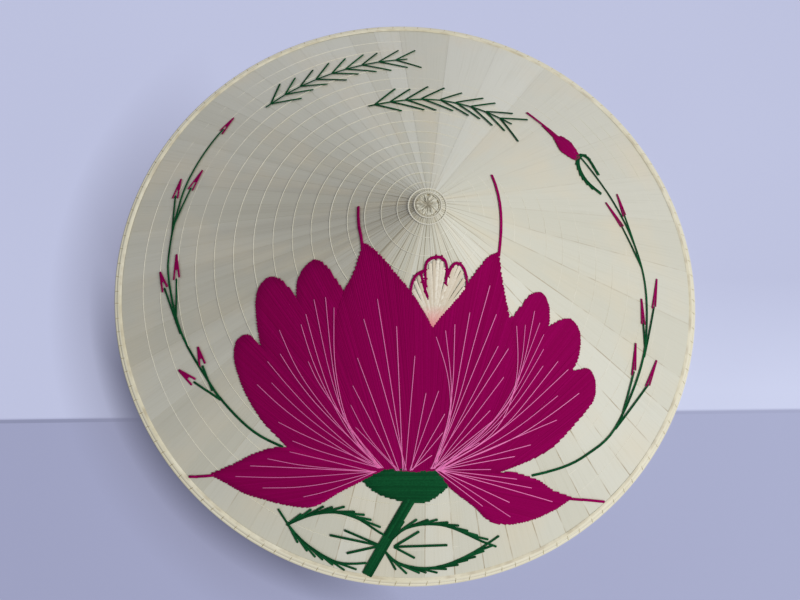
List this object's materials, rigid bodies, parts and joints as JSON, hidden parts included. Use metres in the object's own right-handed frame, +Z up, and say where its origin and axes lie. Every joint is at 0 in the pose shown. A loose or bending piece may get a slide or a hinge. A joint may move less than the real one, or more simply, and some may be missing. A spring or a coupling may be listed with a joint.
{
  "type": "conical hat",
  "caption": "Conical palm-leaf hat on bamboo hoops, with a bamboo rim and an embroidered lotus flower, bud sprays and leaves in yarn.",
  "frame": {"origin": "centre of the resting plane, level with the bottom of the rim", "axes": "+Z up along the cone to its tip, -Y towards the embroidered lotus (the front), +X to the right of the lotus as seen from the front"},
  "size_m": [0.4106, 0.4105, 0.1412],
  "materials": {
    "bamboo_rod": "satin",
    "bamboo_rim": "satin",
    "outer_leaf": "satin",
    "inner_leaf": "satin",
    "sewing_thread": "matte",
    "loop_thread": "matte",
    "pink_thread": "satin",
    "magenta_yarn": "satin",
    "green_yarn": "satin"
  },
  "bodies": {
    "root": {"bud_spray_left": "green_yarn", "bud_spray_right": "green_yarn", "hoop_01": "bamboo_rod", "hoop_02": "bamboo_rod", "hoop_03": "bamboo_rod", "hoop_04": "bamboo_rod", "hoop_05": "bamboo_rod", "hoop_06": "bamboo_rod", "hoop_07": "bamboo_rod", "hoop_08": "bamboo_rod", "hoop_09": "bamboo_rod", "hoop_10": "bamboo_rod", "hoop_11": "bamboo_rod", "hoop_12": "bamboo_rod", "hoop_13": "bamboo_rod", "hoop_14": "bamboo_rod", "hoop_15": "bamboo_rod", "hoop_stitches": "sewing_thread", "inner_leaves_back_left": "inner_leaf", "inner_leaves_back_right": "inner_leaf", "inner_leaves_front_left": "inner_leaf", "inner_leaves_front_right": "inner_leaf", "leaf_left": "green_yarn", "leaf_right": "green_yarn", "lotus_calyx": "green_yarn", "lotus_heart": "magenta_yarn", "lotus_petal_low_left": "magenta_yarn", "lotus_petal_low_right": "magenta_yarn", "lotus_petal_tall_left": "magenta_yarn", "lotus_petal_tall_right": "magenta_yarn", "lotus_petals_side_left": "magenta_yarn", "lotus_petals_side_right": "magenta_yarn", "lotus_stem": "green_yarn", "lotus_veins": "pink_thread", "outer_leaf_01": "outer_leaf", "outer_leaf_02": "outer_leaf", "outer_leaf_03": "outer_leaf", "outer_leaf_04": "outer_leaf", "outer_leaf_05": "outer_leaf", "outer_leaf_06": "outer_leaf", "outer_leaf_07": "outer_leaf", "outer_leaf_08": "outer_leaf", "outer_leaf_09": "outer_leaf", "outer_leaf_10": "outer_leaf", "outer_leaf_11": "outer_leaf", "outer_leaf_12": "outer_leaf", "outer_leaf_13": "outer_leaf", "outer_leaf_14": "outer_leaf", "outer_leaf_15": "outer_leaf", "outer_leaf_16": "outer_leaf", "rim_band": "bamboo_rim", "rim_binding": "sewing_thread", "rim_hoop": "bamboo_rim", "spray_buds": "magenta_yarn", "strap_loop_left": "loop_thread", "strap_loop_right": "loop_thread", "tip_knot": "outer_leaf", "tip_rings": "sewing_thread", "top_sprigs": "green_yarn"}
  },
  "joints": []
}
